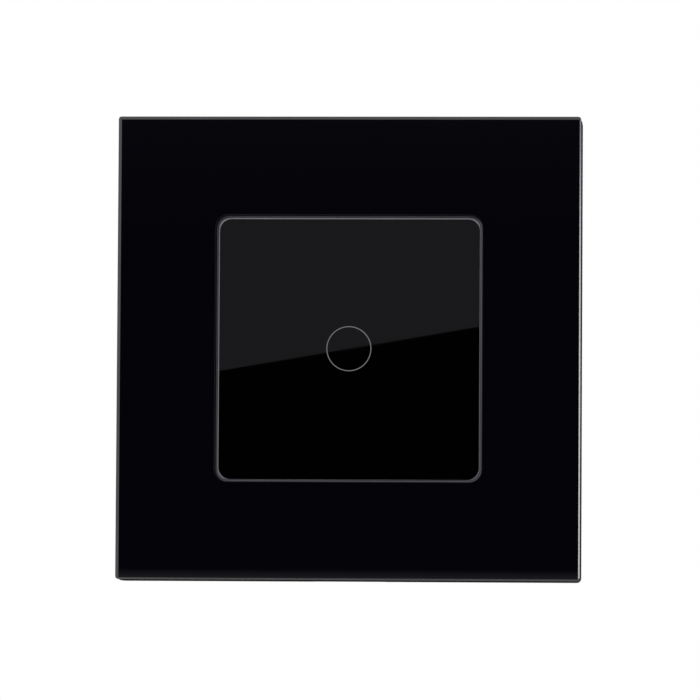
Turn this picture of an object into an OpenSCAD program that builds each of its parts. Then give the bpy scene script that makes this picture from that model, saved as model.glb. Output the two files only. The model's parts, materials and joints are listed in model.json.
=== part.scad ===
// Touch light switch for a flush wall box: a black glass frame, a glass touch plate in its window,
// and the insert behind them with its relay, supply and screw terminals.
// Sub-parts are drawn in wall axes: x to the right, y up, z out of the wall, with the wall at z = 0.
// in_place() turns them so that +Z is up and the face looks towards -Y. All sizes are in millimetres.

/* [Glass frame] */
// Width and height of the glass frame
frame_w = 80; // [78:0.5:92]
// Corner radius of the glass frame
frame_r = 0.8; // [0.8:0.1:4]
// Thickness of the glass frame
frame_t = 4; // [3:0.25:5]
// Height of the frame's front above the wall
frame_front = 10; // [9.5:0.25:13]
// Ground chamfer round the front of the frame
arris = 0.5; // [0.2:0.1:0.7]

/* [Window and touch plate] */
// Width and height of the frame's window
window_w = 46; // [45.5:0.25:48]
// Corner radius of the window
window_r = 2.2; // [1.8:0.1:4]
// Chamfer round the front of the window
window_arris = 0.1; // [0.1:0.1:0.5]
// Gap between the window and the bezel, on each side
window_gap = 0.1; // [0.1:0.05:0.3]
// Thickness of the touch plate
plate_t = 2; // [1.5:0.25:3]
// How far the touch plate is set back in the window
plate_recess = 1.5; // [0.5:0.25:2]
// Chamfer round the front of the touch plate
plate_arris = 0.3; // [0.1:0.05:0.5]
// Middle diameter of the ring mark
ring_d = 7.6; // [6:0.2:10]
// Line width of the ring mark
ring_line = 0.2; // [0.1:0.05:0.6]

/* [Support plate] */
// Thickness of the support plate
support_t = 1.2; // [1:0.1:1.5]
// Spacing of the wall box's screws
screw_spacing = 60; // [59:0.5:61]
// Width of a screw slot
slot_w = 4.2; // [3.6:0.1:5]
// Length of a screw slot
slot_l = 8; // [6:0.5:9]

/* [Insert housing] */
// Width and height of the housing
housing_w = 43.8; // [42:0.2:46]
// Depth of the housing behind the wall
housing_depth = 27; // [26:0.5:34]
// Wall thickness of the housing
housing_wall = 1.8; // [1.4:0.1:2]
// Size of the cut at the housing's corners
corner_cut = 6; // [5:0.5:7]
// Number of vent slots in the top of the housing
vent_count = 7; // [3:1:9]

/* [Terminals] */
// Spacing of the terminals
terminal_pitch = 9.2; // [8.8:0.1:9.4]
// Diameter of a wire hole
wire_hole_d = 3.8; // [3:0.1:4]
// Travel of a rising clamp
clamp_travel = 3; // [2:0.25:3.5]

/* [Relay] */
// Height of the relay
relay_h = 15.2; // [13:0.1:16]
// Angle of the open armature, in degrees
armature_open = 3.5; // [2:0.25:4.5]

/* [Hidden] */
$fn = 64;

// How far a cutter runs past the face it cuts
over = 1;
// Clearance round a screw or a pin in its hole
fit = 0.05;

// Touch unit: widths
bezel_w = window_w - 2 * window_gap;
bezel_r = window_r - window_gap;
bezel_lip = 0.2;
plate_w = bezel_w - 2 * bezel_lip - 2 * fit;
plate_r = bezel_r - bezel_lip;

// Housing: widths, and the limits that cut its corners
housing_sum = housing_w - corner_cut;
mouth_w = housing_w - 2 * housing_wall;
mouth_sum = housing_sum - housing_wall * sqrt(2);
flange_lip = 2.6;
flange_w = housing_w + 2 * flange_lip;
flange_t = 1.5;
flange_r = 2;

// Touch unit: heights, from the front of the plate back to the board
plate_front = frame_front - plate_recess;
plate_back = plate_front - plate_t;
plate_tape_t = 0.3;
plate_tape_inset = 0.5;
floor_front = plate_back - plate_tape_t;
floor_t = 2.2;
board_front = floor_front - floor_t;
board_t = 1.2;
board_back = board_front - board_t;
flange_front = support_t + flange_t;
lip_drop = 0.2;
lip_front = plate_front - lip_drop;
tongue_t = 0.8;
tongue_w = 8;
tongue_gap = 0.1;
tongue_back = 0.2;
cavity_w = mouth_w - 2 * (tongue_t + tongue_gap);
touch_board_gap = 0.2;
touch_board_w = cavity_w - 2 * touch_board_gap;

// Light guide and sensor spring under the ring mark
guide_outside = 1;
guide_inside = 0.8;
guide_r = ring_d / 2 + guide_outside;
guide_bore_r = ring_d / 2 - guide_inside;
guide_gap = 0.2;
led_size = [1.6, 0.8, 0.6];
led_gap = 0.3;
spring_wire = 0.4;
spring_gap = 0.4;
spring_taper = 0.7;
spring_r = guide_bore_r - spring_gap - spring_wire / 2;
spring_top_r = spring_r - spring_taper;
spring_turns = 2.25;
spring_sides = 8;
spring_steps = 24;

// Touch board: its screws, sensor chip and socket
board_screw_inset = 2.7;
board_screw_y = 8;
board_screw_at = [cavity_w / 2 - board_screw_inset, board_screw_y];
board_screw_r = 0.8;
board_screw_head = [1.5, 0.9];
board_screw_grip = 1.6;
board_screw_end = 0.2;
touch_chip_at = [-6, -5];
touch_chip_size = [5, 4, 1.3];
chip_lift = 0.1;
chip_leg = [0.5, 0.9, 0.35];
pin_pitch = 2.54;
pin_count = 6;
pin_inset = 3.3;
pin_y = mouth_w / 2 - pin_inset;
pin_w = 0.64;
pin_play = 0.08;
strip_l = pin_pitch * pin_count;
strip_w = 2.5;
strip_h = 2;
socket_back = 0;
pin_front = 2;
pin_end_gap = 0.3;
pin_tail = 0.8;

// Frame carrier, its sides flush with those of the glass
frame_tape_t = 0.4;
carrier_w = frame_w;
carrier_r = frame_r;
tape_inset = 1.5;
carrier_wall = 2;
carrier_web = 1.5;
carrier_front = frame_front - frame_t - frame_tape_t;
web_back = carrier_front - carrier_web;
web_ledge = 2;
web_opening = window_w + 2 * web_ledge;
pry_notch = [12, 1.6];

// Support plate and its four clip tabs
support_inset = 2.5;
support_w = carrier_w - 2 * carrier_wall - 2 * support_inset;
support_r = 3;
support_gap = 0.2;
tab_t = 1.2;
tab_l = 8;
tab_inset = 2.5;
tab_x = support_w / 2 - tab_inset;
tab_y = 14;
tab_gap = 0.1;
tab_end_gap = 0.3;
tab_top = web_back - tab_end_gap;
tab_blank = 3.8;
clip_block = [6, 12];

// Housing: bosses for the cover screws, board ledges, snap hooks, vents and label field
rear = -housing_depth;
rear_inside = rear + housing_wall;
boss_r = 2;
boss_l = 4.6;
ledge = [1.5, 6];
hook = [1, 8];
hook_ramp = 2.2;
hook_nose = 0.4;
vent = [1.2, 8];
vent_pitch = 2.6;
vent_inset = 2;
label_field = [24, 11];
label_y = 8;
label_depth = 0.3;

// Inner cover and power board
cover_front = -0.4;
cover_back = -1.6;
cover_gap = 0.2;
cover_screw_r = 1;
cover_screw_head = [1.9, 1.3];
cover_screw_grip = 4;
cover_screw_end = 0.5;
boss_at = mouth_sum / 2 - (cover_screw_head[0] + cover_gap) / sqrt(2);
post_r = 1.2;
post_inset = 2.6;
post_at = [mouth_w / 2 - post_inset, 5.5];
slot_gap = 0.5;
power_front = -5;
power_back = -6.6;
power_gap = 0.5;
boss_gap = 0.3;
power_w = mouth_w - 2 * power_gap;
power_sum = 2 * boss_at - (boss_r + boss_gap) * sqrt(2);

// Terminals, measured forward from the back of their bodies
terminal_gap = 0.2;
terminal_back = rear + terminal_gap;
terminal_bottom = -housing_w / 2 + terminal_gap;
terminal_depth = 11.5;
terminal_top = terminal_bottom + terminal_depth;
terminal_wall = 1.8;
terminal_back_wall = 0.8;
bay_w = 6.8;
bay_bottom = terminal_bottom + terminal_wall;
bay_top = terminal_top - terminal_back_wall;
head_r = 2.5;
head_h = 2;
head_fit = 0.08;
head_inset = 2.5;
head_back = terminal_back + head_inset;
head_front = head_back + head_h;
head_slot = [0.8, 1];
access_r = 2.2;
bay_gap = 0.1;
bay_back = head_front + bay_gap;
screw_r = 1.5;
clamp_fit = 0.1;
clamp_w = 6.4;
clamp_l = 6;
clamp_wall = 0.9;
clamp_cap = 1.6;
clamp_sole = 1;
clamp_gap = 0.4;
clamp_y = bay_bottom + clamp_gap + clamp_l / 2;
head_gap = 0.3;
clamp_back = head_front + head_gap + clamp_travel;
bar_gap = 0.2;
bar_back = clamp_back + clamp_cap + bar_gap;
bar_t = 1;
bar_w = 4.2;
bar_inset = 0.9;
bar_hole_r = 0.75;
bar_tail_y = bay_top - bar_gap - bar_t;
wire_room = wire_hole_d + bar_gap;
wire_z = bar_back + bar_t + wire_room / 2;
clamp_front = bar_back + bar_t + wire_room + clamp_sole;
terminal_xs = [-terminal_pitch, 0, terminal_pitch];

// Relay, measured up from the back of the power board, in the lower left of the housing
part_gap = 0.5;
relay_l = 19;
relay_w = 15.4;
relay_left = -mouth_w / 2 + ledge[0] + part_gap;
relay_at = [relay_left + relay_l / 2, terminal_top + part_gap + relay_w / 2];
relay_wall = 0.8;
relay_base_t = 1.6;
relay_base_gap = 0.1;
relay_pin_inset = 2.3;
relay_pin_at = [relay_l / 2 - relay_pin_inset, relay_w / 2 - relay_pin_inset];
yoke_t = 1.2;
yoke_w = 8;
coil_offset = 0.5;
coil_h = 5.9;
bobbin_r = 4.6;
bobbin_tube_r = 2.4;
bobbin_flange_t = 0.7;
winding_r = 4.3;
core_r = 1.8;
core_foot_r = 1.5;
pole_r = 3;
pole_t = 0.5;
coil_bottom = relay_base_t + yoke_t;
coil_top = coil_bottom + coil_h;
pole_top = coil_top + pole_t;
pivot_r = 0.6;
pivot_inset = 2.5;
pivot_x = -relay_l / 2 + pivot_inset;
pivot_h = pole_top - pivot_r;
contact_inset = 2.7;
contact_x = relay_l / 2 - contact_inset;
coil_x = (pivot_x + contact_x) / 2 - coil_offset;
armature_gap = 0.1;
armature_t = 1;
armature_w = 7.6;
armature_overhang = 0.8;
armature_end = coil_x + pole_r + armature_overhang;
armature_bottom = pole_top + armature_gap;
armature_top = armature_bottom + armature_t;
leaf_t = 0.25;
leaf_w = 3;
leaf_overhang = 1.2;
leaf_end = contact_x + leaf_overhang;
contact_r = 1.1;
contact_t = 0.8;
rivet_r = 0.5;
rivet_t = 0.4;
post_size = [1.8, 2.4];
fixed_t = 0.5;
return_leaf_t = 0.3;
return_leaf_w = 4;

// Supply parts on the power board: a column right of the relay, and a row above it
lead_r = 0.35;
lead_hole_r = 0.5;
lead_tail = 0.8;
lead_root = 0.5;
film_size = [12.5, 6, 12];
film_leads = 10;
column_x = relay_left + relay_l + part_gap + film_size[0] / 2;
film_at = [column_x, terminal_top + part_gap + film_size[1] / 2];
varistor_r = 3.75;
varistor_t = 3.6;
varistor_lift = 0.8;
varistor_leads = 5;
varistor_at = [column_x, film_at[1] + film_size[1] / 2 + part_gap + varistor_t / 2];
smooth_r = 4;
smooth_h = 11.5;
smooth_leads = 3.5;
smooth_groove = [0.3, 0.6];
smooth_groove_h = 1.6;
smooth_at = [column_x, varistor_at[1] + varistor_t / 2 + part_gap + smooth_r];
row_y = relay_at[1] + relay_w / 2 + part_gap;
inductor_r = 3.25;
inductor_h = 8;
inductor_rim = 1.2;
inductor_waist = 0.4;
inductor_leads = 3;
inductor_inset = 1;
inductor_at = [relay_left + inductor_inset + inductor_r, row_y + inductor_r];
fuse_r = 2.2;
fuse_l = 9.5;
fuse_leads = 12;
fuse_lift = 0.3;
fuse_at = [inductor_at[0] + inductor_r + part_gap + fuse_leads / 2 + lead_r, row_y + fuse_r];
rectifier_size = [4.8, 3, 1.6];
rectifier_shift = 1;
rectifier_at = [column_x, film_at[1] + rectifier_shift];
converter_size = [5, 4, 1.5];
converter_at = relay_at;

// Turns a sub-part from wall axes to the part's own frame
module in_place() {
    rotate([90, 0, 0])
        children();
}

// Puts a part on the back of the power board, with its own z pointing away from the board
module on_board(at = [0, 0]) {
    translate([at[0], at[1], power_back])
        mirror([0, 0, 1])
            children();
}

// Repeats a part at the four places (+-x, +-y)
module at_four(x, y) {
    for (sx = [-1, 1], sy = [-1, 1])
        translate([sx * x, sy * y, 0])
            children();
}

// Repeats a part with a copy turned to each of the four sides
module on_four_sides() {
    for (a = [0 : 90 : 270])
        rotate([0, 0, a])
            children();
}

// Square outline with round corners
module round_square(w, r) {
    square([w - 2 * r, w], center = true);
    square([w, w - 2 * r], center = true);
    for (sx = [-1, 1], sy = [-1, 1])
        translate([sx * (w / 2 - r), sy * (w / 2 - r)])
            circle(r);
}

// Straight slab of that outline, from z0 to z1
module slab(w, r, z0, z1) {
    translate([0, 0, z0])
        linear_extrude(z1 - z0)
            round_square(w, r);
}

// Slab whose front edge slopes in by inset over the last rise, or out where inset is negative
module edge_slab(w, r, z0, z1, rise, inset) {
    half = w / 2;
    side = [
        [-half, z0], [half, z0], [half, z1 - rise],
        [half - inset, z1], [-half + inset, z1], [-half, z1 - rise]
    ];
    for (a = [0, 90])
        rotate([90, 0, a])
            linear_extrude(w - 2 * r, center = true)
                polygon(side);
    at_four(half - r, half - r)
        translate([0, 0, z0]) {
            cylinder(r = r, h = z1 - z0 - rise);
            translate([0, 0, z1 - z0 - rise])
                cylinder(r1 = r, r2 = r - inset, h = rise);
        }
}

// Square of width w with its corners cut where |x| + |y| passes sum, from z0 to z1
module cut_square(w, sum, z0, z1) {
    half = w / 2;
    cut = sum - half;
    translate([0, 0, z0])
        linear_extrude(z1 - z0)
            polygon([
                [half, cut], [cut, half], [-cut, half], [-half, cut],
                [-half, -cut], [-cut, -half], [cut, -half], [half, -cut]
            ]);
}

// Box centred on x and y, from z0 to z1
module block(x, y, z0, z1) {
    translate([-x / 2, -y / 2, z0])
        cube([x, y, z1 - z0]);
}

// Cross-headed screw: the head stands on z = 0 and the shank goes down from it
module cross_screw(shank_r, shank_l, head) {
    difference() {
        union() {
            cylinder(r = head[0], h = head[1]);
            translate([0, 0, -shank_l])
                cylinder(r = shank_r, h = shank_l + head[1] / 2);
        }
        for (a = [0, 90])
            rotate([0, 0, a])
                block(head[0] * 1.3, 0.4, head[1] * 0.4, head[1] + over);
    }
}

// Flat chip on z = 0 with a row of legs along two sides
module chip(size, legs) {
    pitch = size[0] / legs;
    block(size[0], size[1], chip_lift, size[2]);
    for (i = [0 : legs - 1])
        translate([(i - (legs - 1) / 2) * pitch, 0, 0])
            block(chip_leg[0], size[1] + 2 * chip_leg[1], 0, chip_leg[2]);
}

// Two round leads below z = top, ending past the far side of the power board
module leads(spacing, top) {
    for (sx = [-1, 1])
        translate([sx * spacing / 2, 0, power_back - power_front - lead_tail])
            cylinder(r = lead_r, h = power_front - power_back + lead_tail + top);
}

// Square frame of black glass with a window, chamfered round both edges
module glass_frame() {
    color([0.02, 0.02, 0.03])
        in_place()
            difference() {
                edge_slab(frame_w, frame_r, frame_front - frame_t, frame_front, arris, arris);
                edge_slab(
                    window_w, window_r, frame_front - frame_t - over, frame_front + over,
                    window_arris + over, -window_arris - over
                );
            }
}

// Adhesive ring between the glass and its carrier
module frame_tape() {
    color([0.85, 0.85, 0.82])
        in_place()
            difference() {
                slab(carrier_w - 2 * tape_inset, carrier_r, carrier_front, carrier_front + frame_tape_t);
                slab(web_opening, window_r, carrier_front - over, carrier_front + frame_tape_t + over);
            }
}

// Block behind the carrier's web with a slot that grips one clip tab
module clip_slot() {
    difference() {
        block(clip_block[0], clip_block[1], support_t, web_back + carrier_web / 2);
        block(tab_t + 2 * tab_gap, tab_l + 2 * tab_gap, support_t - over, tab_top + tab_end_gap / 2);
    }
}

// Plastic carrier of the glass: a rim on the wall, a web under the glass and four clip blocks
module frame_carrier() {
    color([0.16, 0.16, 0.17])
        in_place() {
            difference() {
                slab(carrier_w, carrier_r, 0, carrier_front);
                slab(carrier_w - 2 * carrier_wall, 0.5, -over, web_back);
                slab(web_opening, window_r, -over, carrier_front + over);
                translate([0, -carrier_w / 2, 0])
                    block(pry_notch[0], 3 * carrier_wall, -over, pry_notch[1]);
            }
            at_four(tab_x, tab_y)
                clip_slot();
        }
}

// Glass touch plate with a fine groove for the ring mark
module touch_plate() {
    color([0.03, 0.03, 0.035])
        in_place()
            difference() {
                edge_slab(plate_w, plate_r, plate_back, plate_front, plate_arris, plate_arris);
                translate([0, 0, plate_front - ring_line])
                    difference() {
                        cylinder(d = ring_d + ring_line, h = ring_line + over);
                        translate([0, 0, -over])
                            cylinder(d = ring_d - ring_line, h = ring_line + 3 * over);
                    }
            }
}

// Grey ring in the groove, as deep as its line is wide
module ring_mark() {
    color([0.45, 0.45, 0.47])
        in_place()
            translate([0, 0, plate_front - ring_line])
                difference() {
                    cylinder(d = ring_d + ring_line, h = ring_line);
                    translate([0, 0, -over])
                        cylinder(d = ring_d - ring_line, h = ring_line + 2 * over);
                }
}

// Adhesive sheet under the touch plate, open over the light guide
module plate_tape() {
    color([0.8, 0.8, 0.78])
        in_place()
            difference() {
                slab(plate_w - 2 * plate_tape_inset, plate_r, floor_front, plate_back);
                translate([0, 0, floor_front - over])
                    cylinder(r = guide_r + guide_gap, h = plate_tape_t + 2 * over);
            }
}

// Tray that holds the touch plate in front and the touch board behind, with four push-in tongues
module bezel() {
    color([0.1, 0.1, 0.11])
        in_place() {
            difference() {
                slab(bezel_w, bezel_r, flange_front, lip_front);
                slab(plate_w + 2 * fit, plate_r + fit, floor_front, lip_front + over);
                slab(cavity_w, 1, flange_front - over, board_front);
                translate([0, 0, board_front - over])
                    cylinder(r = guide_r + guide_gap, h = floor_t + 2 * over);
                at_four(board_screw_at[0], board_screw_at[1])
                    translate([0, 0, board_front - over])
                        cylinder(r = board_screw_r + fit, h = board_screw_grip + board_screw_end + over);
            }
            on_four_sides()
                translate([cavity_w / 2 + tongue_t / 2, 0, 0])
                    block(tongue_t, tongue_w, tongue_back, flange_front + 0.5);
        }
}

// Clear tube between the board and the plate, notched for four light sources
module light_guide() {
    color([0.9, 0.92, 0.95])
        in_place()
            difference() {
                translate([0, 0, board_front])
                    cylinder(r = guide_r, h = plate_back - board_front);
                translate([0, 0, board_front - over])
                    cylinder(r = guide_bore_r, h = plate_back - board_front + 2 * over);
                on_four_sides()
                    translate([ring_d / 2, 0, 0])
                        block(
                            2 * (guide_outside + guide_inside), led_size[0] + 2 * led_gap,
                            board_front - over, board_front + led_size[2] + led_gap
                        );
            }
}

// Place of the spring wire's centre after t of its height, and the ring of points round it
function spring_radius(t) = spring_r + (spring_top_r - spring_r) * t;
function spring_centre(t) = [
    spring_radius(t) * cos(360 * spring_turns * t),
    spring_radius(t) * sin(360 * spring_turns * t),
    board_front + spring_wire / 2 + (plate_back - board_front - spring_wire) * t
];
function spring_ring(t) = [
    for (k = [0 : spring_sides - 1])
        let (a = 360 * k / spring_sides, turn = 360 * spring_turns * t)
            spring_centre(t) + spring_wire / 2 * [cos(a) * cos(turn), cos(a) * sin(turn), sin(a)]
];

// Coil spring from the sensor pad to the back of the plate
module touch_spring() {
    steps = ceil(spring_turns * spring_steps);
    n = spring_sides;
    rings = [for (i = [0 : steps]) each spring_ring(i / steps)];
    sides = [
        for (i = [0 : steps - 1], k = [0 : n - 1])
            [i * n + k, i * n + (k + 1) % n, (i + 1) * n + (k + 1) % n, (i + 1) * n + k]
    ];
    first = [for (k = [n - 1 : -1 : 0]) k];
    last = [for (k = [0 : n - 1]) steps * n + k];
    turn_gaps = [
        for (i = [0 : steps - spring_steps])
            norm(spring_centre((i + spring_steps) / steps) - spring_centre(i / steps)) - spring_wire
    ];
    echo(least_gap_between_turns = min(turn_gaps));
    color([0.75, 0.75, 0.72])
        in_place()
            polyhedron(points = rings, faces = concat(sides, [first, last]));
}

// Circuit board of the touch unit
module touch_board() {
    color([0.1, 0.3, 0.15])
        in_place()
            difference() {
                slab(touch_board_w, 1, board_back, board_front);
                at_four(board_screw_at[0], board_screw_at[1])
                    translate([0, 0, board_back - over])
                        cylinder(r = board_screw_r + 2 * fit, h = board_t + 2 * over);
            }
}

// Sensor chip on the back of the touch board
module touch_chip() {
    color([0.12, 0.12, 0.12])
        in_place()
            translate([touch_chip_at[0], touch_chip_at[1], board_back])
                mirror([0, 0, 1])
                    chip(touch_chip_size, 4);
}

// Four light sources under the light guide
module indicator_leds() {
    color([0.95, 0.95, 0.85])
        in_place()
            on_four_sides()
                translate([ring_d / 2, 0, 0])
                    block(led_size[1], led_size[0], board_front, board_front + led_size[2]);
}

// Repeats a part at each pin of the header
module at_pins() {
    for (i = [0 : pin_count - 1])
        translate([(i - (pin_count - 1) / 2) * pin_pitch, pin_y, 0])
            children();
}

// Socket on the back of the touch board
module header_socket() {
    color([0.08, 0.08, 0.08])
        in_place()
            difference() {
                translate([0, pin_y, 0])
                    block(strip_l, strip_w, socket_back, board_back);
                at_pins()
                    block(
                        pin_w + 2 * pin_play, pin_w + 2 * pin_play,
                        socket_back - over, pin_front + pin_end_gap
                    );
            }
}

// Screws that hold the touch board in the bezel
module board_screws() {
    color([0.7, 0.7, 0.7])
        in_place()
            at_four(board_screw_at[0], board_screw_at[1])
                translate([0, 0, board_back])
                    mirror([0, 0, 1])
                        cross_screw(board_screw_r, board_t + board_screw_grip, board_screw_head);
}

// Round-ended slot along x through the support plate
module screw_slot() {
    travel = slot_l - slot_w;
    translate([0, 0, -over])
        linear_extrude(support_t + 2 * over) {
            square([travel, slot_w], center = true);
            for (sx = [-1, 1])
                translate([sx * travel / 2, 0])
                    circle(d = slot_w);
        }
}

// Steel plate behind the frame, with four slots for the box screws and four bent clip tabs
module support_plate() {
    color([0.75, 0.76, 0.78])
        in_place() {
            difference() {
                slab(support_w, support_r, 0, support_t);
                cut_square(
                    housing_w + 2 * support_gap, housing_sum + 2 * sqrt(2) * support_gap,
                    -over, support_t + over
                );
                on_four_sides()
                    translate([screw_spacing / 2, 0, 0])
                        screw_slot();
                for (sx = [-1, 1], sy = [-1, 1])
                    translate([sx * (tab_x - tab_t / 2 - tab_blank / 2), sy * tab_y, 0])
                        block(tab_blank, tab_l, -over, support_t + over);
            }
            at_four(tab_x, tab_y)
                block(tab_t, tab_l, 0, tab_top);
        }
}

// Snap hook on the right side of the housing, which holds the plate against the flange
module snap_hook() {
    side = housing_w / 2;
    rotate([90, 0, 0])
        linear_extrude(hook[1], center = true)
            polygon([
                [side - housing_wall / 2, 0], [side + hook[0], 0],
                [side + hook[0], -hook_nose], [side - housing_wall / 2, -hook_ramp]
            ]);
}

// Outer walls, flange and inside of the insert housing
module housing_shell() {
    difference() {
        union() {
            cut_square(housing_w, housing_sum, rear, support_t + flange_t / 2);
            slab(flange_w, flange_r, support_t, flange_front);
        }
        cut_square(mouth_w, mouth_sum, rear_inside, flange_front + over);
        slab(mouth_w, 1, support_t, flange_front + over);
    }
}

// Boss for a cover screw, on the diagonal along x, with a rib out to the corner wall
module screw_boss() {
    boss_x = boss_at * sqrt(2);
    rib_l = mouth_sum / sqrt(2) + housing_wall / 2 - boss_x;
    translate([boss_x, 0, cover_back - boss_l])
        cylinder(r = boss_r, h = boss_l);
    translate([boss_x + rib_l / 2, 0, 0])
        block(rib_l, boss_r, cover_back - boss_l, cover_back);
}

// Insert housing: a deep box with a flange, open at the lower back for the terminals
module housing() {
    color([0.86, 0.86, 0.84])
        in_place()
            difference() {
                union() {
                    housing_shell();
                    for (a = [0, 180])
                        rotate([0, 0, a]) {
                            snap_hook();
                            translate([mouth_w / 2 + (housing_wall / 2 - ledge[0]) / 2, 0, 0])
                                block(ledge[0] + housing_wall / 2, ledge[1], rear_inside, power_back);
                        }
                    for (a = [45 : 90 : 315])
                        rotate([0, 0, a])
                            screw_boss();
                }
                at_four(boss_at, boss_at)
                    translate([0, 0, cover_back - cover_screw_grip])
                        cylinder(r = cover_screw_r + fit, h = cover_screw_grip + over);
                translate([0, terminal_top + terminal_gap - housing_w / 2, 0])
                    block(
                        3 * terminal_pitch + 2 * terminal_gap, housing_w,
                        rear - over, power_back + terminal_gap
                    );
                for (i = [0 : vent_count - 1])
                    translate([(i - (vent_count - 1) / 2) * vent_pitch, housing_w / 2, 0])
                        block(
                            vent[0], 4 * housing_wall,
                            rear_inside + vent_inset, rear_inside + vent_inset + vent[1]
                        );
                translate([0, label_y, 0])
                    block(label_field[0], label_field[1], rear - over, rear + label_depth);
            }
}

// Cover inside the mouth of the housing, with posts that hold the power board on its ledges
module inner_cover() {
    color([0.2, 0.2, 0.21])
        in_place() {
            difference() {
                cut_square(
                    mouth_w - 2 * cover_gap, mouth_sum - 2 * sqrt(2) * cover_gap, cover_back, cover_front
                );
                at_four(boss_at, boss_at)
                    translate([0, 0, cover_back - over])
                        cylinder(r = cover_screw_r + 2 * fit, h = cover_front - cover_back + 2 * over);
                translate([0, pin_y, 0])
                    block(
                        strip_l + 2 * slot_gap, strip_w + 2 * slot_gap, cover_back - over, cover_front + over
                    );
            }
            at_four(post_at[0], post_at[1])
                translate([0, 0, power_front])
                    cylinder(r = post_r, h = (cover_back + cover_front) / 2 - power_front);
        }
}

// Screws that hold the inner cover
module cover_screws() {
    color([0.72, 0.72, 0.7])
        in_place()
            at_four(boss_at, boss_at)
                translate([0, 0, cover_front])
                    cross_screw(
                        cover_screw_r, cover_front - cover_back + cover_screw_grip - cover_screw_end,
                        cover_screw_head
                    );
}

// Two lead holes through the power board
module lead_holes(at, spacing) {
    for (sx = [-1, 1])
        translate([at[0] + sx * spacing / 2, at[1], power_back - over])
            cylinder(r = lead_hole_r, h = power_front - power_back + 2 * over);
}

// Circuit board of the insert, drilled for the leads of its parts
module power_board() {
    color([0.55, 0.42, 0.15])
        in_place()
            difference() {
                cut_square(power_w, power_sum, power_back, power_front);
                lead_holes(film_at, film_leads);
                lead_holes(varistor_at, varistor_leads);
                lead_holes(smooth_at, smooth_leads);
                lead_holes(inductor_at, inductor_leads);
                lead_holes(fuse_at, fuse_leads);
                for (sy = [-1, 1])
                    lead_holes([relay_at[0], relay_at[1] + sy * relay_pin_at[1]], 2 * relay_pin_at[0]);
                for (x = terminal_xs)
                    translate([x, bar_tail_y + bar_t / 2, power_back - over])
                        cylinder(r = bar_hole_r, h = power_front - power_back + 2 * over);
                at_pins()
                    block(pin_w, pin_w, power_back - over, power_front + over);
            }
}

// Plastic strip of the pin header, on the front of the power board
module header_strip() {
    color([0.08, 0.08, 0.08])
        in_place()
            difference() {
                translate([0, pin_y, 0])
                    block(strip_l, strip_w, power_front, power_front + strip_h);
                at_pins()
                    block(pin_w, pin_w, power_front - over, power_front + strip_h + over);
            }
}

// Pins of the header, from behind the power board into the socket
module header_pins() {
    color([0.83, 0.68, 0.3])
        in_place()
            at_pins()
                block(pin_w, pin_w, power_back - pin_tail, pin_front);
}

// Base of the relay with its four pins
module relay_base() {
    inner = 2 * (relay_wall + relay_base_gap);
    color([0.15, 0.25, 0.5])
        in_place()
            on_board(relay_at) {
                block(relay_l - inner, relay_w - inner, 0, relay_base_t);
                for (sy = [-1, 1])
                    translate([0, sy * relay_pin_at[1], 0])
                        leads(2 * relay_pin_at[0], relay_base_t / 2);
            }
}

// Cover of the relay, open towards the board
module relay_case() {
    color([0.12, 0.3, 0.62])
        in_place()
            on_board(relay_at)
                difference() {
                    block(relay_l, relay_w, 0, relay_h);
                    block(relay_l - 2 * relay_wall, relay_w - 2 * relay_wall, -over, relay_h - relay_wall);
                }
}

// Iron yoke: a foot under the coil and an upright with a round edge that the armature tilts on
module relay_yoke() {
    back = pivot_x - yoke_t / 2;
    color([0.6, 0.6, 0.62])
        in_place()
            on_board(relay_at) {
                difference() {
                    translate([back, -yoke_w / 2, relay_base_t])
                        cube([coil_x + pole_r - back, yoke_w, yoke_t]);
                    translate([coil_x, 0, 0])
                        cylinder(r = core_foot_r + fit, h = coil_top);
                }
                translate([back, -yoke_w / 2, relay_base_t])
                    cube([yoke_t, yoke_w, pivot_h - relay_base_t]);
                translate([pivot_x, 0, pivot_h])
                    rotate([90, 0, 0])
                        cylinder(r = pivot_r, h = yoke_w, center = true);
            }
}

// Iron core with its foot in the yoke and its pole on top of the coil
module relay_core() {
    color([0.68, 0.68, 0.7])
        in_place()
            on_board(relay_at)
                translate([coil_x, 0, 0]) {
                    translate([0, 0, relay_base_t])
                        cylinder(r = core_foot_r, h = coil_h);
                    translate([0, 0, coil_bottom])
                        cylinder(r = core_r, h = coil_h);
                    translate([0, 0, coil_top])
                        cylinder(r = pole_r, h = pole_t);
                }
}

// Bobbin: two flanges on a tube round the core
module relay_bobbin() {
    color([0.85, 0.82, 0.7])
        in_place()
            on_board(relay_at)
                translate([coil_x, 0, coil_bottom])
                    difference() {
                        union() {
                            cylinder(r = bobbin_tube_r, h = coil_h);
                            cylinder(r = bobbin_r, h = bobbin_flange_t);
                            translate([0, 0, coil_h - bobbin_flange_t])
                                cylinder(r = bobbin_r, h = bobbin_flange_t);
                        }
                        translate([0, 0, -over])
                            cylinder(r = core_r + fit, h = coil_h + 2 * over);
                    }
}

// Copper winding between the bobbin's flanges
module relay_winding() {
    color([0.7, 0.36, 0.15])
        in_place()
            on_board(relay_at)
                translate([coil_x, 0, coil_bottom + bobbin_flange_t])
                    difference() {
                        cylinder(r = winding_r, h = coil_h - 2 * bobbin_flange_t);
                        translate([0, 0, -over])
                            cylinder(r = bobbin_tube_r + fit, h = coil_h + 2 * over);
                    }
}

// Spring strip on the back of the yoke
module return_leaf() {
    color([0.75, 0.55, 0.25])
        in_place()
            on_board(relay_at)
                translate([pivot_x - yoke_t / 2 - return_leaf_t, -return_leaf_w / 2, coil_bottom])
                    cube([return_leaf_t, return_leaf_w, pivot_h - coil_bottom]);
}

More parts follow.
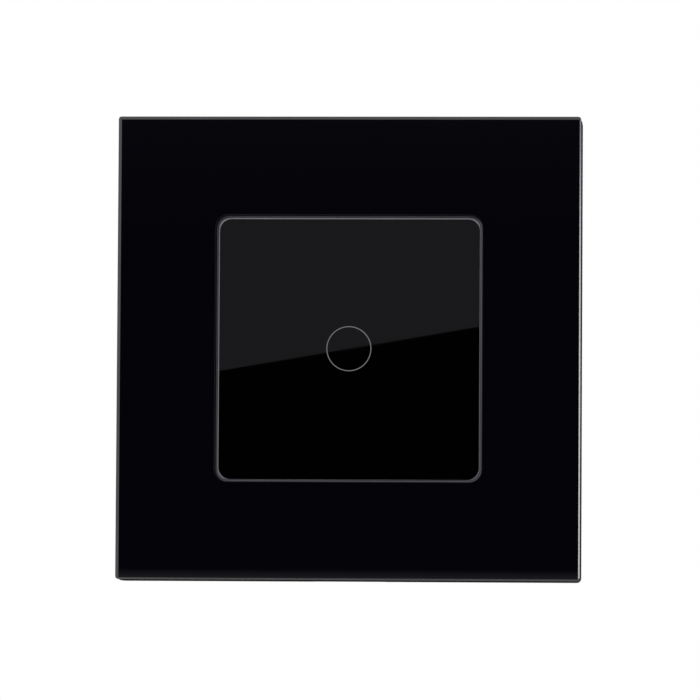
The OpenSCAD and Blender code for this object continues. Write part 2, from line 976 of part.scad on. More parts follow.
// Contact post on the relay's base, with its contact on top
module fixed_contact() {
    post_top = armature_top - contact_t - armature_gap - fixed_t;
    color([0.78, 0.6, 0.35])
        in_place()
            on_board(relay_at)
                translate([contact_x, 0, 0]) {
                    block(post_size[0], post_size[1], relay_base_t, post_top);
                    translate([0, 0, post_top])
                        cylinder(r = contact_r, h = fixed_t);
                }
}

// Tilts a part of the armature, drawn closed, to its open place
module opened() {
    translate([pivot_x, 0, pivot_h])
        rotate([0, -armature_open, 0])
            translate([-pivot_x, 0, -pivot_h])
                children();
}

// Iron lever over the pole
module relay_armature() {
    color([0.62, 0.62, 0.64])
        in_place()
            on_board(relay_at)
                opened()
                    translate([pivot_x - yoke_t / 4, -armature_w / 2, armature_bottom])
                        cube([armature_end - pivot_x + yoke_t / 4, armature_w, armature_t]);
}

// Spring leaf on the lever, drilled for its contact
module contact_leaf() {
    color([0.8, 0.58, 0.28])
        in_place()
            on_board(relay_at)
                opened()
                    difference() {
                        translate([pivot_x, -leaf_w / 2, armature_top])
                            cube([leaf_end - pivot_x, leaf_w, leaf_t]);
                        translate([contact_x, 0, armature_top - over])
                            cylinder(r = rivet_r + fit, h = leaf_t + 2 * over);
                    }
}

// Contact riveted through the leaf
module moving_contact() {
    color([0.85, 0.85, 0.85])
        in_place()
            on_board(relay_at)
                opened()
                    translate([contact_x, 0, armature_top]) {
                        translate([0, 0, -contact_t])
                            cylinder(r = contact_r, h = contact_t);
                        translate([0, 0, -contact_t / 2])
                            cylinder(r = rivet_r, h = contact_t / 2 + leaf_t + rivet_t / 2);
                        translate([0, 0, leaf_t])
                            cylinder(r = contact_r, h = rivet_t);
                    }
}

// Box-shaped film capacitor
module film_capacitor() {
    color([0.75, 0.6, 0.12])
        in_place()
            on_board(film_at) {
                block(film_size[0], film_size[1], 0, film_size[2]);
                leads(film_leads, lead_root);
            }
}

// Round smoothing capacitor with a groove in its can
module smoothing_capacitor() {
    color([0.1, 0.12, 0.2])
        in_place()
            on_board(smooth_at) {
                difference() {
                    cylinder(r = smooth_r, h = smooth_h);
                    translate([0, 0, smooth_groove_h])
                        difference() {
                            cylinder(r = smooth_r + over, h = smooth_groove[1]);
                            translate([0, 0, -over])
                                cylinder(r = smooth_r - smooth_groove[0], h = smooth_groove[1] + 2 * over);
                        }
                }
                leads(smooth_leads, lead_root);
            }
}

// Varistor disc, standing on its leads
module varistor() {
    color([0.15, 0.3, 0.6])
        in_place()
            on_board(varistor_at) {
                translate([0, 0, varistor_r + varistor_lift])
                    rotate([90, 0, 0])
                        cylinder(r = varistor_r, h = varistor_t, center = true);
                leads(varistor_leads, varistor_r);
            }
}

// Fuse lying along the board, with its leads bent down at each end
module fuse() {
    axis_h = fuse_r + fuse_lift;
    color([0.45, 0.3, 0.2])
        in_place()
            on_board(fuse_at) {
                translate([0, 0, axis_h])
                    rotate([0, 90, 0]) {
                        cylinder(r = fuse_r, h = fuse_l, center = true);
                        cylinder(r = lead_r, h = fuse_leads + 2 * lead_r, center = true);
                    }
                leads(fuse_leads, axis_h);
            }
}

// Upright inductor with wide ends
module inductor() {
    color([0.2, 0.2, 0.2])
        in_place()
            on_board(inductor_at) {
                cylinder(r = inductor_r, h = inductor_rim);
                cylinder(r = inductor_r - inductor_waist, h = inductor_h);
                translate([0, 0, inductor_h - inductor_rim])
                    cylinder(r = inductor_r, h = inductor_rim);
                leads(inductor_leads, lead_root);
            }
}

// Rectifier on the front of the power board
module rectifier() {
    color([0.1, 0.1, 0.1])
        in_place()
            translate([rectifier_at[0], rectifier_at[1], power_front])
                chip(rectifier_size, 2);
}

// Converter chip on the front of the power board
module converter_chip() {
    color([0.1, 0.1, 0.1])
        in_place()
            translate([converter_at[0], converter_at[1], power_front])
                chip(converter_size, 4);
}

// Terminal body: a deep bay for the clamp, a wire hole below and a screwdriver hole behind
module terminal_body(x) {
    color([0.25, 0.5, 0.3])
        in_place()
            translate([x, 0, 0])
                difference() {
                    translate([0, terminal_bottom + terminal_depth / 2, 0])
                        block(terminal_pitch, terminal_depth, terminal_back, power_back);
                    translate([0, (bay_bottom + bay_top) / 2, 0])
                        block(bay_w, bay_top - bay_bottom, bay_back, power_back + over);
                    translate([0, clamp_y, terminal_back - over])
                        cylinder(r = access_r, h = terminal_wall + 2 * over);
                    translate([0, clamp_y, terminal_back + terminal_wall])
                        cylinder(r = head_r + head_fit, h = bay_back - terminal_back);
                    translate([0, bay_bottom + over, wire_z])
                        rotate([90, 0, 0])
                            cylinder(d = wire_hole_d, h = terminal_wall + 2 * over);
                }
}

// Brass bar that the wire is pressed against, with a leg down to the power board
module terminal_bar(x) {
    tongue_l = bar_tail_y + bar_t - (bay_bottom + bar_inset);
    color([0.8, 0.66, 0.3])
        in_place()
            translate([x, bar_tail_y + bar_t, 0]) {
                translate([-bar_w / 2, -tongue_l, bar_back])
                    cube([bar_w, tongue_l, bar_t]);
                translate([-bar_w / 2, -bar_t, bar_back])
                    cube([bar_w, bar_t, power_back - bar_back]);
                translate([0, -bar_t / 2, 0])
                    block(bar_t, bar_t, power_back - 1, power_front + lead_tail);
            }
}

// Terminal screw: a slotted head facing backwards and a shank whose tip rests on the bar
module terminal_screw(x) {
    color([0.82, 0.82, 0.78])
        in_place()
            translate([x, clamp_y, 0])
                difference() {
                    union() {
                        translate([0, 0, head_back])
                            cylinder(r = head_r, h = head_h);
                        translate([0, 0, head_front - head_h / 2])
                            cylinder(r = screw_r, h = bar_back - head_front + head_h / 2);
                    }
                    block(2 * head_r + over, head_slot[0], head_back - over, head_back + head_slot[1]);
                }
}

// Rising clamp: a square loop round the bar, with the screw through its cap
module terminal_clamp(x) {
    color([0.7, 0.72, 0.75])
        in_place()
            translate([x, clamp_y, 0])
                difference() {
                    block(clamp_w, clamp_l, clamp_back, clamp_front);
                    block(
                        clamp_w - 2 * clamp_wall, clamp_l + 2 * over,
                        clamp_back + clamp_cap, clamp_front - clamp_sole
                    );
                    translate([0, 0, clamp_back - over])
                        cylinder(r = screw_r + clamp_fit, h = clamp_cap + 2 * over);
                }
}

glass_frame();
frame_tape();
frame_carrier();
touch_plate();
ring_mark();
plate_tape();
bezel();
light_guide();
touch_spring();
touch_board();
touch_chip();
indicator_leds();
header_socket();
board_screws();
support_plate();
housing();
inner_cover();
cover_screws();
power_board();
header_strip();
header_pins();
relay_base();
relay_case();
relay_yoke();
relay_core();
relay_bobbin();
relay_winding();
return_leaf();
fixed_contact();
relay_armature();
contact_leaf();
moving_contact();
film_capacitor();
smoothing_capacitor();
varistor();
fuse();
inductor();
rectifier();
converter_chip();
terminal_body(terminal_xs[0]);  // terminal_body_1
terminal_body(terminal_xs[1]);  // terminal_body_2
terminal_body(terminal_xs[2]);  // terminal_body_3
terminal_bar(terminal_xs[0]);  // terminal_bar_1
terminal_bar(terminal_xs[1]);  // terminal_bar_2
terminal_bar(terminal_xs[2]);  // terminal_bar_3
terminal_screw(terminal_xs[0]);  // terminal_screw_1
terminal_screw(terminal_xs[1]);  // terminal_screw_2
terminal_screw(terminal_xs[2]);  // terminal_screw_3
terminal_clamp(terminal_xs[0]);  // terminal_clamp_1
terminal_clamp(terminal_xs[1]);  // terminal_clamp_2
terminal_clamp(terminal_xs[2]);  // terminal_clamp_3
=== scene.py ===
# %% [markdown]
# # A glass touch switch, dressed for its picture
#
# The imported model is a wall switch: a black glass frame over an insert with a relay and screw
# terminals, and a glass touch plate set back in the frame's window. It is loaded first, in metres,
# and it stays where it is.

# %% The imported model
import json
import math

import bmesh
import bpy
from mathutils import Matrix, Quaternion, Vector


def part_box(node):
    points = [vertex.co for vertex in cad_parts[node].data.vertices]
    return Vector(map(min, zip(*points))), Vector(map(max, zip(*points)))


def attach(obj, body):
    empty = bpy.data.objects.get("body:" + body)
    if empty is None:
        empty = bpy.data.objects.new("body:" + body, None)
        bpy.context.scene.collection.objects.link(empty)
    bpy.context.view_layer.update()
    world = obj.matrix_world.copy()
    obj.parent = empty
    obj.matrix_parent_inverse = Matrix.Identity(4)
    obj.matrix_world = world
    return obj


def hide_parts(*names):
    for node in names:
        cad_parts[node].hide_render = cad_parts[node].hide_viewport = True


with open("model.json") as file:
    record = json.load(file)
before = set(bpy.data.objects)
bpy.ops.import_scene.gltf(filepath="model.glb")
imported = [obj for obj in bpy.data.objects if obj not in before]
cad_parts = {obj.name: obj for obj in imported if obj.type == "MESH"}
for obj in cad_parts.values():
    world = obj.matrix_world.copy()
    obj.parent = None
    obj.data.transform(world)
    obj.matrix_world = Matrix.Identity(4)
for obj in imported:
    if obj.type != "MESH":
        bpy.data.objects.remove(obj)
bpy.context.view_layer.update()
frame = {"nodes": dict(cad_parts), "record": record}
MM = 0.001
scene = bpy.context.scene

# %% [markdown]
# ## The camera
#
# The picture is taken almost straight on, through a long lens from about a metre, a little from
# below and from the right. A camera can be turned until it looks right, but the frame is a true
# square, so the places of its four corners in the picture give the direction, the distance and a
# slight roll.

# %% Camera
aim = Vector((0.25, -9.5, -0.28)) * MM
distance, focal_length = 998.5 * MM, 298.59
azimuth, elevation, roll = math.radians(3.213), math.radians(-3.123), math.radians(0.34)
outward = Vector((
    math.sin(azimuth) * math.cos(elevation),
    -math.cos(azimuth) * math.cos(elevation),
    math.sin(elevation),
))
lens = bpy.data.cameras.new("camera")
lens.sensor_fit = "HORIZONTAL"
lens.lens = focal_length
camera = bpy.data.objects.new("camera", lens)
camera.location = aim + distance * outward
turn = (-outward).to_track_quat("-Z", "Y") @ Quaternion((0, 0, 1), roll)
camera.rotation_euler = turn.to_euler()
scene.collection.objects.link(camera)
scene.camera = camera
scene.view_settings.view_transform = "Standard"
print("camera at", [round(c / MM, 1) for c in camera.location], "mm")

# %% [markdown]
# ## Two small tools for node trees
#
# Every finish below is a tree of nodes. They could be wired one by one in the editor, but a script
# can be read and repeated. One function adds a node, fills in its settings and links its inputs.
# The other turns a colour as a screen shows it, written as a hex code, into the linear values that
# shaders use. The Mix node has sockets of the same names for numbers and for colours, so these are
# reached by their places in its list.

# %% Node and colour tools
NUMBER_A, NUMBER_B = 2, 3
COLOUR_A, COLOUR_B, COLOUR_OUT = 6, 7, 2


def add(tree, kind, settings=None, links=None):
    """Adds a shader node. A setting is an input, by name or place, or a property of the node."""
    node = tree.nodes.new("ShaderNode" + kind)
    for name, value in (settings or {}).items():
        if isinstance(name, int) or name in node.inputs:
            node.inputs[name].default_value = value
        else:
            setattr(node, name, value)
    for name, socket in (links or {}).items():
        tree.links.new(socket, node.inputs[name])
    return node


def linear(code):
    """Linear red, green, blue and alpha of an sRGB hex code such as #808080."""
    parts = [int(code[i:i + 2], 16) / 255 for i in (1, 3, 5)]
    return [p / 12.92 if p <= 0.04045 else ((p + 0.055) / 1.055) ** 2.4 for p in parts] + [1.0]


print("mid grey is", round(linear("#808080")[0], 3), "in linear light")

# %% [markdown]
# ## World and floor
#
# The switch stands before plain white. A wall could be lit until it is white, but that light would
# fall on the switch too. Instead the world shows white to the camera and in reflections, and gives
# a lower, level fill to everything else, so that a colour renders about as it is written.

# %% World
fill_level = 0.7
world = bpy.data.worlds.new("studio")
world.use_nodes = True
scene.world = world
tree = world.node_tree
path = add(tree, "LightPath")
seen = add(tree, "Math", {"operation": "MAXIMUM"}, {
    0: path.outputs["Is Camera Ray"], 1: path.outputs["Is Glossy Ray"],
})
seen = add(tree, "Math", {"operation": "MAXIMUM"}, {
    0: seen.outputs[0], 1: path.outputs["Is Transmission Ray"],
})
fill = add(tree, "Background", {"Color": linear("#fbfcff"), "Strength": fill_level})
white = add(tree, "Background", {"Color": (1, 1, 1, 1), "Strength": 1.0})
both = add(tree, "MixShader", links={0: seen.outputs[0], 1: fill.outputs[0], 2: white.outputs[0]})
tree.links.new(both.outputs[0], tree.nodes["World Output"].inputs["Surface"])
print("world is white to look at and fills with", fill_level)

# %% [markdown]
# The floor is a sheet of pale matt paper, below the picture, that takes the shadow. It is one-sided,
# so that the part can be looked at from below too: its back is transparent.

# %% Floor
def new_object(name, mesh, materials):
    """Turns a bmesh into an object of the scene and frees the bmesh."""
    data = bpy.data.meshes.new(name)
    mesh.to_mesh(data)
    mesh.free()
    for material in materials:
        data.materials.append(material)
    made = bpy.data.objects.new(name, data)
    scene.collection.objects.link(made)
    return made


floor_radius, floor_z = 1.2, -70 * MM
paper = bpy.data.materials.new("matt_paper")
paper.use_nodes = True
tree = paper.node_tree
top = tree.nodes["Principled BSDF"]
top.inputs["Base Color"].default_value = linear("#efefec")
top.inputs["Roughness"].default_value = 0.9
side = add(tree, "NewGeometry")
through = add(tree, "BsdfTransparent")
one_sided = add(tree, "MixShader", links={
    0: side.outputs["Backfacing"], 1: top.outputs[0], 2: through.outputs[0],
})
tree.links.new(one_sided.outputs[0], tree.nodes["Material Output"].inputs["Surface"])
mesh = bmesh.new()
bmesh.ops.create_circle(
    mesh, cap_ends=True, segments=96, radius=floor_radius,
    matrix=Matrix.Translation((0, 0, floor_z)),
)
floor = new_object("floor", mesh, [paper])
print("floor at", round(floor.data.vertices[0].co.z / MM, 1), "mm")

# %% [markdown]
# ## Lamps
#
# A broad key lamp from the upper left gives form. A small softbox at the right, a little behind,
# makes the right edge of the glass the brightest, most of all in its middle. A lamp behind keeps the
# insert out of the shade when it is looked at from there. Sun lamps would be simpler, but they draw
# hard shadows, and an area lamp is as soft as it is large.

# %% Lamps
def lamp(name, place, size, level):
    """A square area lamp aimed at the part. Level is its share on a white surface facing it."""
    light = bpy.data.lights.new(name, "AREA")
    light.size = size
    place = Vector(place)
    light.energy = level * math.pi ** 2 * place.length_squared
    made = bpy.data.objects.new(name, light)
    made.location = place
    made.rotation_euler = (-place).to_track_quat("-Z", "Y").to_euler()
    scene.collection.objects.link(made)
    print(name, "radiates", round(light.energy / (math.pi * size ** 2), 2))


lamp("key_lamp", place=(-0.5, -1.7, 0.65), size=0.6, level=0.28)
lamp("right_softbox", place=(1.5, 0.84, 0.05), size=0.24, level=0.036)
lamp("back_lamp", place=(-0.7, 1.5, 0.9), size=0.7, level=0.25)

# %% [markdown]
# ## Cards for the glass
#
# Black glass shows what stands before it, so its look is made with cards. They could be pushed about
# until they show in the right place. Here they are placed by mirroring the camera in the glass: a
# point of a card is where the camera's view through a point of the glass ends.

# %% Mirrored points
def mirrored(x, z, front, depth):
    """The point at a depth y that the camera sees at x, z (in mm) of a mirror at depth front."""
    twin = Vector((camera.location.x, 2 * front - camera.location.y, camera.location.z))
    spot = Vector((x * MM, front, z * MM))
    return twin + (depth - twin.y) / (front - twin.y) * (spot - twin)


frame_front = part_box("glass_frame")[0].y
seen_spot = mirrored(0, 0, frame_front, camera.location.y)
print("beside the camera, the frame's middle mirrors", [round(c / MM) for c in seen_spot], "mm")

# %% [markdown]
# A card could be lit by the lamps, but then every change of a lamp would change it. These give their
# own light instead: the flag next to none, as velvet does, and the sheen card a soft grey.

# %% Card surfaces
def glowing(name, colour, strength):
    """A plain light-giving surface for a card."""
    material = bpy.data.materials.new(name)
    material.use_nodes = True
    tree = material.node_tree
    tree.nodes.remove(tree.nodes["Principled BSDF"])
    glow = add(tree, "Emission", {"Color": linear(colour), "Strength": strength})
    tree.links.new(glow.outputs[0], tree.nodes["Material Output"].inputs["Surface"])
    return material


velvet = glowing("black_velvet", "#f4f4ff", 0.0)
grey_card = glowing("grey_card", "#f6f4ff", 0.25)
print("card surfaces:", velvet.name, grey_card.name)

# %% [markdown]
# A photographer hangs a dark flag beside the camera. Its mirror image fills the frame, so the front
# goes deep black while white still comes in from all sides and the ground edges shine. The pale floor
# lights the lower hem of the flag, and its head is a trace lighter too, so it glows by height. Like
# the other card it shows only in reflections.

# %% Dark flag
def card(name, corners, material):
    """A flat card through these corners, seen only in reflections."""
    mesh = bmesh.new()
    mesh.faces.new([mesh.verts.new(corner) for corner in corners])
    made = new_object(name, mesh, [material])
    made.visible_camera = False
    made.visible_diffuse = False
    made.visible_transmission = False
    made.visible_shadow = False


half_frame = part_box("glass_frame")[1].x / MM
flag_y = -1.5
# The heights on the frame, in mm, at which a glow starts and is full, and its strength.
hem_glow = (2 - half_frame, 0.4 - half_frame, 0.25)
head_glow = (half_frame - 20, half_frame, 0.03)
tree = velvet.node_tree
height = add(tree, "SeparateXYZ", links={0: add(tree, "TexCoord").outputs["Object"]})
lit = []
for dark, bright, strength in (hem_glow, head_glow):
    lit.append(add(tree, "MapRange", {
        "From Min": mirrored(0, dark, frame_front, flag_y).z,
        "From Max": mirrored(0, bright, frame_front, flag_y).z,
        "To Max": strength,
    }, {"Value": height.outputs["Z"]}))
glow = add(tree, "Math", {"operation": "MAXIMUM"}, {0: lit[0].outputs[0], 1: lit[1].outputs[0]})
tree.links.new(glow.outputs[0], tree.nodes["Emission"].inputs["Strength"])
flag_side, flag_foot = 2 * half_frame, -half_frame - 1
flag_corners = (
    (-flag_side, flag_foot), (flag_side, flag_foot), (flag_side, flag_side), (-flag_side, flag_side),
)
card("dark_flag", [mirrored(x, z, frame_front, flag_y) for x, z in flag_corners], velvet)
print("flag is", round(2 * flag_side), "mm wide in the plane of the frame")

# %% [markdown]
# Across its upper half the touch plate shows the slanted lower edge of a small grey card. Painted on
# the glass, such a sheen would stay where it is when the view moves. A reflection slides as a real
# one does. The card's upper corners are cut, because the plate's are round, so it doesn't show on
# the frame beside them.

# %% Sheen card
plate_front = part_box("touch_plate")[0].y
half_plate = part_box("touch_plate")[1].x / MM
sheen_y = -1.2
sheen_middle, sheen_slope, corner_cut = -0.02, 0.173, 0.8
rise = sheen_slope * half_plate
uncut = half_plate - corner_cut
sheen_corners = (
    (-half_plate, sheen_middle - rise), (half_plate, sheen_middle + rise), (half_plate, uncut),
    (uncut, half_plate), (-uncut, half_plate), (-half_plate, uncut),
)
card("sheen_card", [mirrored(x, z, plate_front, sheen_y) for x, z in sheen_corners], grey_card)
print("sheen rises", round(2 * rise, 1), "mm across the plate")

# %% [markdown]
# ## Glass
#
# Each finish starts from the common name of the real material and how its surface was made. Patterns
# lie in the part's own coordinates, so a size in millimetres is a size on the part.
#
# Frame and touch plate are float glass, painted black on the back. They could be clear panes with a
# painted sheet behind, but all that shows is a polished face over a dark colour, and one opaque
# shader with the IOR of glass gives both. The face is almost a mirror, so it needs hardly any
# pattern: only the faint film of handling, which dulls it in soft patches. The frame's colour is
# written a trace lighter and bluer than the plate's, and that difference is painted reflection: the
# frame mirrors a little more light than the plate.

# %% Glass faces
def start(name, colour, roughness, metallic=0.0, ior=1.5):
    """A material, its node tree, its shader and the part's own coordinates."""
    material = bpy.data.materials.new(name)
    material.use_nodes = True
    tree = material.node_tree
    shader = tree.nodes["Principled BSDF"]
    shader.inputs["Base Color"].default_value = linear(colour)
    shader.inputs["Roughness"].default_value = roughness
    shader.inputs["Metallic"].default_value = metallic
    shader.inputs["IOR"].default_value = ior
    return material, tree, shader, add(tree, "TexCoord").outputs["Object"]


GLASS_IOR = 1.52


def back_painted_glass(name, paint_and_reflection):
    """Float glass, painted black on the back, with a film of handling; its colour also holds painted
    reflection.
    """
    film_size = 16
    material, tree, shader, place = start(name, paint_and_reflection, 0.01, ior=GLASS_IOR)
    film = add(tree, "TexNoise", {
        "Scale": 1 / (film_size * MM), "Detail": 6.0, "Distortion": 0.8,
    }, {"Vector": place})
    dull = add(tree, "MapRange", {
        "From Min": 0.4, "From Max": 0.75, "To Min": 0.007, "To Max": 0.015,
    }, {"Value": film.outputs[0]})
    tree.links.new(dull.outputs[0], shader.inputs["Roughness"])
    return material


# Frame and plate glass differ only by painted reflection: the frame's colour is lighter and bluer.
frame_face = back_painted_glass("frame_glass_paint_and_painted_reflection", "#050409")
plate_face = back_painted_glass("plate_float_glass", "#010101")
print("glass faces:", frame_face.name, plate_face.name)

# %% [markdown]
# Round its outer edge the frame is ground with a fine wheel, which leaves a satin arris that shines.
# The plate's arris is coarser and frosted, so it glows evenly in its recess. The sides and the broken
# edge of the window stay matt, as the wheel cut them. The ring on the plate is ceramic ink, fired on.
#
# Like most surfaces of the switch, these share one build: two close colours that drift, because no
# batch is quite even, and a fine grain that breaks up gloss and light. What is special about a material
# is added to that. A picture of each surface could be laid on it instead, but noise has no seams and
# keeps its scale on any shape.

# %% Glass edges and ink
# Nearly all the values of a noise lie between these two.
noise_span = {"From Min": 0.3, "From Max": 0.7}


def grained(
    name, colours, roughness, grain, depth, metallic=0.0, ior=1.5, stretch=(1, 1, 1), drift=9,
):
    """Two colours that drift, and a grain. Sizes are in mm. A stretch under 1 draws the grain out."""
    material, tree, shader, place = start(name, colours[0], roughness, metallic, ior)
    slow = add(tree, "TexNoise", {"Scale": 1 / (drift * MM), "Detail": 3.0}, {"Vector": place})
    share = add(tree, "MapRange", noise_span, {"Value": slow.outputs[0]})
    tint = add(tree, "Mix", {
        "data_type": "RGBA", COLOUR_A: linear(colours[0]), COLOUR_B: linear(colours[1]),
    }, {0: share.outputs[0]})
    tree.links.new(tint.outputs[COLOUR_OUT], shader.inputs["Base Color"])
    along = add(tree, "Mapping", {"Scale": stretch}, {"Vector": place})
    fine = add(tree, "TexNoise", {"Scale": 1 / (grain * MM), "Detail": 4.0}, {
        "Vector": along.outputs[0],
    })
    gloss = add(tree, "MapRange", {
        **noise_span, "To Min": 0.8 * roughness, "To Max": 1.2 * roughness,
    }, {"Value": fine.outputs[0]})
    tree.links.new(gloss.outputs[0], shader.inputs["Roughness"])
    bump = add(tree, "Bump", {"Distance": depth * MM}, {"Height": fine.outputs[0]})
    tree.links.new(bump.outputs[0], shader.inputs["Normal"])
    return material


# After the two colours come roughness, the width of the grain and its depth, both in mm. The grit of
# the grinding wheel is under 0.1 mm, too fine for the picture, so it is drawn at 0.3 mm.
# Finely ground: satin, and bright where it mirrors the white around it.
ground_edge = grained(
    "ground_glass_arris", ("#2a2a2e", "#323236"), 0.15, 0.3, 0.003, ior=GLASS_IOR)
# Ground on a coarse belt: frosted, so that it glows evenly.
frosted_edge = grained(
    "frosted_glass_arris", ("#86848e", "#8e8c96"), 0.4, 0.3, 0.004, ior=GLASS_IOR)
# Cut and left so: dark and matt.
sawn_edge = grained(
    "wheel_cut_glass_side", ("#121215", "#19191c"), 0.7, 0.3, 0.015, ior=GLASS_IOR)
# Fired ink: a dry, even grey.
ring_ink = grained("fired_ceramic_ink", ("#5e5e60", "#6e6e70"), 0.5, 0.15, 0.004)
print("glass edges:", [edge.name for edge in (ground_edge, frosted_edge, sawn_edge)])

# %% [markdown]
# ## Plastics
#
# Moulded parts take the texture of the mould. Housing and carrier come from a spark-eroded mould, with
# a fine matt grain of about a third of a millimetre. Filled electrical plastics, such as the terminals,
# are smoother and show faint streaks where the melt flowed, so their grain is stretched. Resins and
# sleeves are glossier.

# %% Plastics
# After the two colours come roughness, the width of the grain and its depth, both in mm.
finish = {
    # From a spark-eroded mould: an even matt that swallows light.
    "dark_plastic": grained(
        "spark_textured_abs_dark", ("#18181a", "#1e1e20"), 0.7, 0.35, 0.015, drift=25),
    # The same texture in pale grey, where it gives a soft, even shade.
    "grey_plastic": grained(
        "spark_textured_abs_grey", ("#d1d1cc", "#d6d6d1"), 0.5, 0.35, 0.015, drift=30),
    # Filled with glass fibre: a dull sheen with faint lines of flow.
    "black_plastic": grained(
        "glass_filled_pbt_black", ("#141414", "#1c1c1c"), 0.4, 0.25, 0.01, stretch=(0.2, 1, 1)),
    # Smooth and a little waxy, streaked from the gate of the mould.
    "green_plastic": grained(
        "polyamide_green", ("#2f6a41", "#3a7a4c"), 0.34, 0.4, 0.01, ior=1.53,
        stretch=(1, 0.15, 1)),
    # From a polished mould: glossy, with faint lines of flow.
    "blue_plastic": grained(
        "pbt_blue", ("#1c4a93", "#2455a2"), 0.3, 0.3, 0.006, stretch=(0.3, 1, 1)),
    # From a polished mould too: glossy and even.
    "yellow_plastic": grained("pbt_yellow", ("#c49a1f", "#d0a62a"), 0.28, 0.3, 0.006),
    # Left uncoloured: milky, with a soft gloss.
    "natural_plastic": grained(
        "polyamide_natural", ("#d8d0b2", "#e2dbc0"), 0.36, 0.3, 0.008, ior=1.53),
    # Pressed from powder: a close, satin grain.
    "chip_black": grained("epoxy_moulding_compound", ("#17171a", "#202023"), 0.46, 0.12, 0.01),
    # Shrunk on with heat: glossy, with long ripples.
    "can_sleeve": grained(
        "shrunk_pvc_sleeve", ("#141b30", "#1a2239"), 0.22, 0.6, 0.02, ior=1.53,
        stretch=(1, 0.3, 1)),
    # Fired without a glaze: dry and dull.
    "fuse_ceramic": grained("fired_steatite", ("#7d5a3c", "#8b6747"), 0.6, 0.2, 0.02, ior=1.58),
    # Foamed: open pores and no gloss.
    "adhesive": grained("acrylic_foam_tape", ("#c9c9c2", "#d6d6cf"), 0.75, 0.25, 0.05, ior=1.48),
}
# A coarse surface shades itself from light that grazes it, so these two mirror less of it.
for material in (sawn_edge, finish["dark_plastic"]):
    shader = material.node_tree.nodes["Principled BSDF"]
    shader.inputs["Specular IOR Level"].default_value = 0.08
print(len(finish), "plastics")

# %% [markdown]
# The clear light guide and the lenses of the light sources let light through. The guide is acrylic,
# polished in the mould, and light really passes through it. The lenses are epoxy, clouded by the
# phosphor that turns blue light white. They only glow a little, for which some scatter is enough.

# %% Clear and clouded plastics
flow_size, flow_depth = 2, 0.01
clear, tree, shader, place = start("polished_acrylic", "#eef3f6", 0.04, ior=1.49)
shader.inputs["Transmission Weight"].default_value = 0.9
flow = add(tree, "TexNoise", {"Scale": 1 / (flow_size * MM), "Detail": 2.0}, {"Vector": place})
bump = add(tree, "Bump", {"Distance": flow_depth * MM}, {"Height": flow.outputs[0]})
tree.links.new(bump.outputs[0], shader.inputs["Normal"])
finish["clear_plastic"] = clear
clouded = grained("phosphor_epoxy", ("#ece6b8", "#f4efcd"), 0.2, 0.12, 0.005, ior=1.54)
clouded.node_tree.nodes["Principled BSDF"].inputs["Subsurface Weight"].default_value = 0.3
finish["led_white"] = clouded
print("clear plastics:", clear.name, clouded.name)

# %% [markdown]
# ## Metals
#
# Rolled strip and drawn wire carry fine lines along the way they were worked. An anisotropic shader
# could stand for them, but a grain that is stretched hard in that direction also shows close up.
# Plated parts are smoother, with a fine orange peel.

# %% Worked metals
# After the two colours come roughness, the width of the grain and its depth, both in mm.
finish.update({
    # Drawn through a die: bright and smooth.
    "spring_steel": grained(
        "drawn_spring_wire", ("#b0b0ac", "#bdbdb9"), 0.25, 0.1, 0.003, metallic=1.0),
    # Gold over nickel: warm and bright, with fine lines along the pin.
    "gold_pins": grained(
        "gold_on_nickel", ("#d6ad55", "#e0bb68"), 0.2, 0.12, 0.003, metallic=1.0,
        stretch=(1, 0.1, 1)),
    # Nickel on punched iron: a soft, even shine.
    "iron": grained(
        "nickelled_relay_iron", ("#a3a3a3", "#b1b0ae"), 0.32, 0.2, 0.006, metallic=1.0),
    # Rolled: long, fine lines that smear the light.
    "bronze": grained(
        "rolled_phosphor_bronze", ("#bd8a4e", "#c9975a"), 0.28, 0.15, 0.004, metallic=1.0,
        stretch=(0.06, 1, 1)),
    # Pressed from strip: lines that run up and down.
    "brass": grained(
        "pressed_brass", ("#c5a14f", "#d1ae5d"), 0.27, 0.2, 0.005, metallic=1.0,
        stretch=(1, 1, 0.08)),
    # Turned and riveted: a pale, soft shine.
    "silver": grained(
        "silver_contact_rivet", ("#d3d2cd", "#dddcd7"), 0.3, 0.1, 0.004, metallic=1.0),
    # Clear enamel over copper: red-brown and bright.
    "copper": grained(
        "enamelled_copper", ("#a5521f", "#b7622c"), 0.3, 0.1, 0.004, metallic=1.0),
})
print(len(finish), "finishes so far")

# %% [markdown]
# The support plate is hot-dip galvanised sheet. Zinc freezes on it in crystals some millimetres
# across, the spangle, and each crystal has its own shade and gloss. Voronoi cells are just such grown
# crystals. A little noise bends their borders, and smaller cells among them stand for the feathers
# inside a crystal. The screws are zinc-plated in a bath instead, which leaves an even, slightly
# yellow film.

# %% Zinc
crystal_size, feather_size, ragged_size, skin_size = 5, 1.6, 1.2, 0.5
bend, feather_share, skin_depth = 0.9, 0.4, 0.012
spangle, tree, shader, place = start("galvanised_sheet", "#b4b8bc", 0.36, metallic=1.0)
ragged = add(tree, "TexNoise", {"Scale": 1 / (ragged_size * MM), "Detail": 3.0}, {"Vector": place})
bent = add(tree, "VectorMath", {"operation": "MULTIPLY_ADD", 1: (bend * MM,) * 3}, {
    0: ragged.outputs["Color"], 2: place,
})
crystal = add(tree, "TexVoronoi", {"Scale": 1 / (crystal_size * MM)}, {"Vector": bent.outputs[0]})
feather = add(tree, "TexVoronoi", {"Scale": 1 / (feather_size * MM)}, {"Vector": bent.outputs[0]})
mixed = add(tree, "Mix", {"data_type": "RGBA", 0: feather_share}, {
    COLOUR_A: crystal.outputs["Color"], COLOUR_B: feather.outputs["Color"],
})
shade = add(tree, "SeparateColor", links={0: mixed.outputs[COLOUR_OUT]})
tint = add(tree, "Mix", {
    "data_type": "RGBA", COLOUR_A: linear("#a3a8ac"), COLOUR_B: linear("#c4c8cb"),
}, {0: shade.outputs["Red"]})
tree.links.new(tint.outputs[COLOUR_OUT], shader.inputs["Base Color"])
